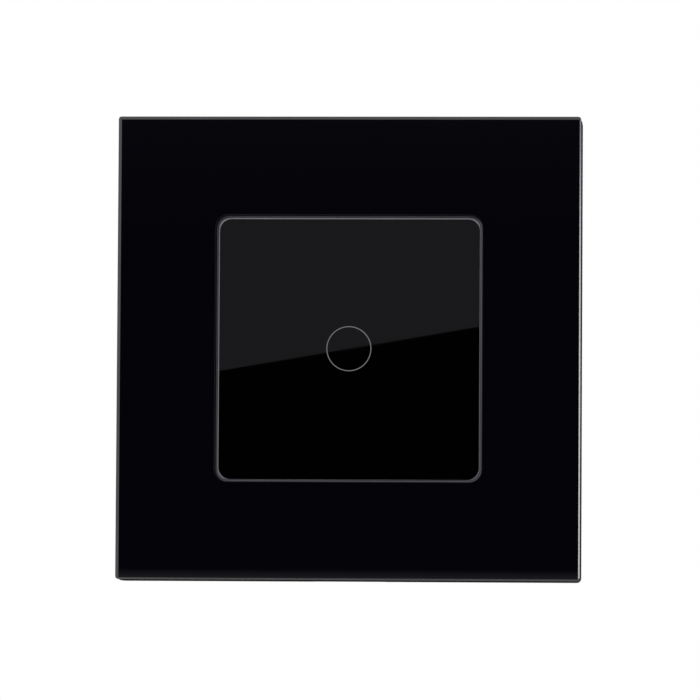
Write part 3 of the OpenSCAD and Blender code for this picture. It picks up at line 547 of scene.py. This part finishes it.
gloss = add(tree, "MapRange", {"To Min": 0.26, "To Max": 0.46}, {"Value": shade.outputs["Green"]})
tree.links.new(gloss.outputs[0], shader.inputs["Roughness"])
skin = add(tree, "TexNoise", {"Scale": 1 / (skin_size * MM), "Detail": 4.0}, {"Vector": place})
bump = add(tree, "Bump", {"Distance": skin_depth * MM}, {"Height": skin.outputs[0]})
tree.links.new(bump.outputs[0], shader.inputs["Normal"])
finish["zinc_steel"] = spangle
screw_zinc = grained(
    "passivated_zinc", ("#b9b7a8", "#c6c4b6"), 0.26, 0.15, 0.004, metallic=1.0)
print("zinc:", spangle.name, screw_zinc.name)

# %% [markdown]
# ## Boards
#
# The touch board is glass-epoxy laminate under green solder mask. Copper tracks show through it as
# paler lines, and bare pads are tinned. Tracks run along two directions and turn at corners, which
# the joints of a brick wall do as well, so two brick patterns at right angles stand for them, one or
# the other by patches. The power board is a plain brown paper laminate, with broad tracks on it.

# %% Boards
def printed_board(name, mask, track, pitch, width, pads):
    """A board with tracks of a pitch and width in mm, and tinned pads about so many mm apart."""
    stagger, run, pad_radius, copper_thickness = 0.37, 7 * pitch, 0.35, 0.035
    material, tree, shader, place = start(name, mask, 0.3, ior=1.54)
    quarter = math.radians(90)
    # From here on one unit of the pattern is a millimetre, so patches at 0.12 are about 8 mm wide.
    flat = add(tree, "Mapping", {"Rotation": (quarter, 0, 0), "Scale": (1 / MM,) * 3}, {
        "Vector": place,
    })
    turned = add(tree, "Mapping", {"Rotation": (0, 0, quarter)}, {"Vector": flat.outputs[0]})
    runs = []
    for way in (flat, turned):
        wall = add(tree, "TexBrick", {
            "offset": stagger, "Scale": 1.0, "Mortar Size": width / 2, "Mortar Smooth": 0.0,
            "Brick Width": run, "Row Height": pitch,
        }, {"Vector": way.outputs[0]})
        runs.append(wall.outputs["Fac"])
    patches = add(tree, "TexNoise", {"Scale": 0.12, "Detail": 0.0}, {"Vector": flat.outputs[0]})
    pick = add(tree, "Math", {"operation": "GREATER_THAN", 1: 0.5}, {0: patches.outputs[0]})
    tracks = add(tree, "Mix", links={0: pick.outputs[0], NUMBER_A: runs[0], NUMBER_B: runs[1]})
    tint = add(tree, "Mix", {
        "data_type": "RGBA", COLOUR_A: linear(mask), COLOUR_B: linear(track),
    }, {0: tracks.outputs[0]})
    dots = add(tree, "TexVoronoi", {"Scale": 1 / pads, "Randomness": 0.6}, {
        "Vector": flat.outputs[0],
    })
    bare = add(tree, "Math", {"operation": "LESS_THAN", 1: pad_radius / pads}, {
        0: dots.outputs["Distance"],
    })
    colour = add(tree, "Mix", {"data_type": "RGBA", COLOUR_B: linear("#bcbab2")}, {
        0: bare.outputs[0], COLOUR_A: tint.outputs[COLOUR_OUT],
    })
    tree.links.new(colour.outputs[COLOUR_OUT], shader.inputs["Base Color"])
    tree.links.new(bare.outputs[0], shader.inputs["Metallic"])
    bump = add(tree, "Bump", {"Distance": copper_thickness * MM}, {"Height": tracks.outputs[0]})
    tree.links.new(bump.outputs[0], shader.inputs["Normal"])
    return material


finish["green_board"] = printed_board(
    "green_solder_mask", "#12492a", "#1e6a3d", pitch=1.27, width=0.3, pads=4.0)
finish["brown_board"] = printed_board(
    "paper_laminate", "#8a6a2c", "#a0813e", pitch=3.2, width=1.4, pads=5.0)
print("boards:", finish["green_board"].name, finish["brown_board"].name)

# %% [markdown]
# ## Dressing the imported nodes
#
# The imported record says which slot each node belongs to, and each slot now has a finish. Screws and
# clamps are in the same slot as the galvanised plate, but they are plated, so they get their own. So
# does the bezel: its thin lip shows beside the plate, and it is moulded in a smooth dark grey.

# %% Finishes on the nodes
finish["black_glass"] = frame_face
finish["grey_print"] = ring_ink
own = {name: screw_zinc for name in frame["nodes"] if "screw" in name or "clamp" in name}
own["bezel"] = grained("smooth_abs_grey", ("#4b4a50", "#504f55"), 0.4, 0.3, 0.006)
for part in frame["record"]["subparts"]:
    name = part["node"]
    material = own.get(name) or finish[part["material_slot"]]
    frame["nodes"][name].data.materials.clear()
    frame["nodes"][name].data.materials.append(material)

# %% [markdown]
# ## Tinned legs and leads
#
# The chips and wired parts are one node each, legs and all, but on the real ones the legs are tinned
# copper. The legs could be cut off as pieces of their own. It is enough to know where a body ends,
# though: outside of that stretch a copy of the finish turns to bright metal. So do the caps of the
# fuse and the bare top of the smoothing capacitor's can.

# %% Tinned legs
def tinned(name, axis, low, high):
    """Gives a node a copy of its finish that is bright metal outside low to high (mm) on an axis."""
    slot = frame["nodes"][name].data.materials
    material = slot[0].copy()
    material.name = slot[0].name + "_and_tin"
    tree = material.node_tree
    shader = tree.nodes["Principled BSDF"]
    place = add(tree, "SeparateXYZ", links={0: add(tree, "TexCoord").outputs["Object"]})
    body = add(tree, "Math", {
        "operation": "COMPARE", 1: (low + high) / 2 * MM, 2: (high - low) / 2 * MM,
    }, {0: place.outputs[axis]})
    metal = add(tree, "Math", {"operation": "SUBTRACT", 0: 1.0}, {1: body.outputs[0]})
    tint = add(tree, "Mix", {"data_type": "RGBA", COLOUR_B: linear("#c1c2bf")}, {
        0: metal.outputs[0], COLOUR_A: shader.inputs["Base Color"].links[0].from_socket,
    })
    tree.links.new(tint.outputs[COLOUR_OUT], shader.inputs["Base Color"])
    tree.links.new(metal.outputs[0], shader.inputs["Metallic"])
    slot[0] = material


leg, cap, margin = 0.9, 1.6, 0.05
for name in ("touch_chip", "rectifier", "converter_chip"):
    low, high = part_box(name)
    tinned(name, "Z", low.z / MM + leg, high.z / MM - leg)
board_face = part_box("power_board")[1].y / MM
for name in ("film_capacitor", "varistor", "inductor", "relay_base"):
    tinned(name, "Y", board_face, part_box(name)[1].y / MM + margin)
tinned("smoothing_capacitor", "Y", board_face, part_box("smoothing_capacitor")[1].y / MM - margin)
low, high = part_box("fuse")
tinned("fuse", "X", low.x / MM + cap, high.x / MM - cap)
print("tinned legs start", leg, "mm inside a chip's reach")

# %% [markdown]
# ## Soft edges
#
# No moulded or punched edge is quite sharp: it has a small radius that draws a fine line of light. The
# nodes are loose triangles, so each gets three modifiers in a row: one welds the triangles together,
# one merges the flat ones, and one rounds what is left of the sharp edges. The meshes themselves stay
# as they came.

# %% Rounded edges on moulded and punched parts
def soften(name, radius):
    """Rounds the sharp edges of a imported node, by a radius in mm."""
    piece = frame["nodes"][name]
    weld = piece.modifiers.new("weld", "WELD")
    weld.merge_threshold = 0.0005 * MM
    merge = piece.modifiers.new("merge_flat", "DECIMATE")
    merge.decimate_type = "DISSOLVE"
    merge.angle_limit = math.radians(0.5)
    edge = piece.modifiers.new("round_edge", "BEVEL")
    edge.width = radius * MM
    edge.segments = 2
    edge.limit_method = "ANGLE"
    edge.angle_limit = math.radians(40)
    edge.use_clamp_overlap = True


edge_radii = {
    "bezel": 0.1, "frame_carrier": 0.25, "support_plate": 0.12, "housing": 0.25,
    "inner_cover": 0.15, "header_socket": 0.08,
    "terminal_body_1": 0.2, "terminal_body_2": 0.2, "terminal_body_3": 0.2,
}
for name, radius in edge_radii.items():
    soften(name, radius)
print("edges rounded on", len(edge_radii), "nodes")

# %% [markdown]
# ## The glass frame
#
# A glazier cuts a square, cuts its window and takes the edges off both. A box and a cutter could do
# the same, but cutters leave ragged meshes. Here a square with round corners and a smaller one inside
# it are bridged to a flat ring, which is extruded to the thickness of the glass. Handwork is never
# quite true: the pane is a trace smaller than its carrier and bonded a trace off its middle.

# %% Cutting the frame
def rounded_square(mesh, width, radius, y):
    """Adds a square with round corners, in mm, on the plane at depth y."""
    flat = Matrix.Translation((0, y * MM, 0)) @ Matrix.Rotation(math.radians(90), 4, "X")
    sheet = bmesh.ops.create_grid(
        mesh, x_segments=1, y_segments=1, size=width / 2 * MM, matrix=flat,
    )
    bmesh.ops.bevel(
        mesh, geom=sheet["verts"], offset=radius * MM, offset_type="OFFSET", segments=8,
        profile=0.5, affect="VERTICES", material=-1,
    )


def thicken(mesh, depth):
    """Extrudes all faces backwards by a depth in mm and turns the normals out."""
    walls = bmesh.ops.extrude_face_region(mesh, geom=mesh.faces[:])
    back = [v for v in walls["geom"] if isinstance(v, bmesh.types.BMVert)]
    bmesh.ops.translate(mesh, verts=back, vec=(0, depth * MM, 0))
    bmesh.ops.recalc_face_normals(mesh, faces=mesh.faces[:])


low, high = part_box("glass_frame")
width, thickness = (high.x - low.x) / MM, (high.y - low.y) / MM
pane, pane_corner, pane_shift = width - 0.18, 0.5, (-0.06 * MM, 0, 0.09 * MM)
window, window_corner = 46, 2.2
mesh = bmesh.new()
rounded_square(mesh, pane, pane_corner, low.y / MM)
bmesh.ops.translate(mesh, verts=mesh.verts[:], vec=pane_shift)
rounded_square(mesh, window, window_corner, low.y / MM)
bmesh.ops.delete(mesh, geom=mesh.faces[:], context="FACES_ONLY")
bmesh.ops.bridge_loops(mesh, edges=mesh.edges[:])
thicken(mesh, thickness)
FACE, GROUND, SAWN = 0, 1, 2
for face in mesh.faces:
    face.material_index = FACE if abs(face.normal.y) > 0.5 else SAWN
print("frame cut:", len(mesh.faces), "faces,", round(pane, 2), "mm wide, window", window, "mm")

# %% [markdown]
# The outer arris is flat, as a wheel leaves it, and gets the ground finish. A bevel modifier could cut
# it, but it would be the same all round, and the wheel took about 0.3 mm more at the left and at the
# top than at the right and below, so the front line of the arris is moved. The rim of the window is
# only broken, and is as matt as the sides.

# %% Grinding the frame
# Round corners bring some edges of a rim up to a millimetre further in.
same_level, corner_room = 0.01 * MM, 1


def rims(mesh, half):
    """The sharp, level edges at about half the width of a square, in mm, from the middle."""
    found = []
    for edge in mesh.edges:
        far = max(max(abs(v.co.x), abs(v.co.z)) for v in edge.verts) / MM
        level = abs(edge.verts[0].co.y - edge.verts[1].co.y) < same_level
        sharp = edge.calc_face_angle(0) > math.radians(80)
        if abs(far - half) < corner_room and level and sharp:
            found.append(edge)
    return found


def in_front(vert, front):
    """Whether a corner lies on the front of the glass."""
    return vert.co.y < front + same_level


def grind(mesh, edges, width, material, segments=1):
    """Bevels rims by a width in mm, gives the bevel a finish by number and returns its corners."""
    bevel = bmesh.ops.bevel(
        mesh, geom=edges, offset=width * MM, offset_type="OFFSET", segments=segments,
        profile=0.5, affect="EDGES", material=-1,
    )
    for face in bevel["faces"]:
        face.material_index = material
        face.smooth = segments > 1
    return bevel["verts"]


arris, uneven, broken_edge = 0.4, (0.17 * MM, 0, -0.14 * MM), 0.1
outer_rim = [edge for edge in rims(mesh, pane / 2) if in_front(edge.verts[0], low.y)]
ground = grind(mesh, outer_rim, arris, GROUND)
inner_line = [vert for vert in ground if in_front(vert, low.y)]
bmesh.ops.translate(mesh, verts=inner_line, vec=uneven)
grind(mesh, rims(mesh, window / 2), broken_edge, SAWN)
frame_glass = new_object("frame_glass", mesh, [frame_face, ground_edge, sawn_edge])
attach(frame_glass, "frame")
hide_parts("glass_frame")
print("frame glass:", len(frame_glass.data.polygons), "faces, arris", arris, "mm before the shift")

# %% [markdown]
# ## The touch plate
#
# The plate is made like the frame, without a window. Its arris is narrow and rounded, as a belt leaves
# it. The belt took a little more at the top, at the left and at the corners, and so these glint. The
# front line of the arris is moved for it, and its corner arcs are scaled about the plate's corners.

# %% Touch plate
low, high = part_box("touch_plate")
width, thickness = (high.x - low.x) / MM, (high.y - low.y) / MM
plate_corner, arris, widening = 1.9, 0.2, 1.18
uneven = (0.043 * MM, 0, -0.09 * MM)
mesh = bmesh.new()
rounded_square(mesh, width, plate_corner, low.y / MM)
thicken(mesh, thickness)
ground = grind(mesh, rims(mesh, width / 2), arris, GROUND, segments=3)
inner_line = [vert for vert in ground if in_front(vert, low.y)]
corner = (width / 2 - arris) * MM
for x, z in ((corner, corner), (corner, -corner), (-corner, corner), (-corner, -corner)):
    bmesh.ops.scale(
        mesh, vec=(widening, 1, widening), space=Matrix.Translation((-x, 0, -z)),
        verts=[vert for vert in inner_line if vert.co.x * x > 0 and vert.co.z * z > 0],
    )
bmesh.ops.translate(mesh, verts=inner_line, vec=uneven)
plate_glass = new_object("plate_glass", mesh, [plate_face, frosted_edge])
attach(plate_glass, "touch_unit")
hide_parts("touch_plate")
print("plate glass:", len(plate_glass.data.polygons), "faces,", round(width, 2), "mm wide")

# %% [markdown]
# ## The ring on the plate
#
# The ring is a fired line of grey ink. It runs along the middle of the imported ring, which is 0.2 mm
# wide, but it is finer and far thinner. It could be painted in the glass's finish, but a line of its
# own keeps its edge at any distance. The outline of a small rectangle, spun round the middle of the
# plate, gives the closed ring.

# %% Ring mark
def spin_round(mesh, centre, steps):
    """Spins an outline once round the y axis through a centre, into a closed ring."""
    bmesh.ops.spin(
        mesh, geom=mesh.edges[:] + mesh.verts[:], cent=centre, axis=(0, 1, 0), angle=2 * math.pi,
        steps=steps, use_merge=True, use_duplicate=False,
    )
    bmesh.ops.remove_doubles(mesh, verts=mesh.verts[:], dist=0.0001 * MM)
    bmesh.ops.recalc_face_normals(mesh, faces=mesh.faces[:])
    open_edges = sum(not edge.is_manifold for edge in mesh.edges)
    print("spun ring:", len(mesh.faces), "faces,", open_edges, "open edges")


groove, line, ink = 0.2 * MM, 0.15 * MM, 0.02 * MM
ring_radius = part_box("ring_mark")[1].x - groove / 2
mesh = bmesh.new()
# A circle of four corners, turned by 45 degrees, is a square with sides of 1 at this radius.
bmesh.ops.create_circle(
    mesh, cap_ends=False, segments=4, radius=math.sqrt(0.5),
    matrix=Matrix.Translation((ring_radius, plate_front, 0)) @ Matrix.Diagonal((line, ink, 1, 1))
    @ Matrix.Rotation(math.radians(45), 4, "Z"),
)
spin_round(mesh, centre=(0, 0, 0), steps=96)
ring_line = new_object("ring_line", mesh, [ring_ink])
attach(ring_line, "touch_unit")
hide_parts("ring_mark")

# %% [markdown]
# ## The coil of the relay
#
# A coil isn't a smooth tube: its outer layer shows turn beside turn. A wire could be led along a helix,
# but rings look the same at this size, and they close on themselves. A strip is cut into rows, every
# second row is drawn in a little on its outer side, and its outline is spun round the axis of the
# coil. The wire is really about 0.1 mm thick. It is drawn at 0.4 mm so that the turns can be seen.

# %% Relay coil
low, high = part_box("relay_winding")
centre = (low + high) / 2
radius, length = (high.x - low.x) / 2, high.y - low.y
wire, layer, notch = 0.4 * MM, 1.8 * MM, 0.16 * MM
turns = round(length / wire)
step = length / turns
layer_middle = centre.x + radius - layer / 2
mesh = bmesh.new()
bmesh.ops.create_grid(mesh, x_segments=1, y_segments=2 * turns, size=0.5)
bmesh.ops.transform(mesh, verts=mesh.verts[:], matrix=Matrix.Diagonal((layer, length, 1, 1)))
bmesh.ops.translate(mesh, verts=mesh.verts[:], vec=(layer_middle, centre.y, centre.z))
for vert in mesh.verts:
    row = round((vert.co.y - low.y) / (step / 2))
    if vert.co.x > layer_middle and row % 2 == 0:
        vert.co.x -= notch
bmesh.ops.dissolve_faces(mesh, faces=mesh.faces[:])
bmesh.ops.delete(mesh, geom=mesh.faces[:], context="FACES_ONLY")
spin_round(mesh, centre, steps=48)
for face in mesh.faces:
    face.smooth = True
relay_coil = new_object("relay_coil", mesh, [finish["copper"]])
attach(relay_coil, "insert")
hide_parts("relay_winding")
print("relay coil:", turns, "turns,", len(relay_coil.data.polygons), "faces")
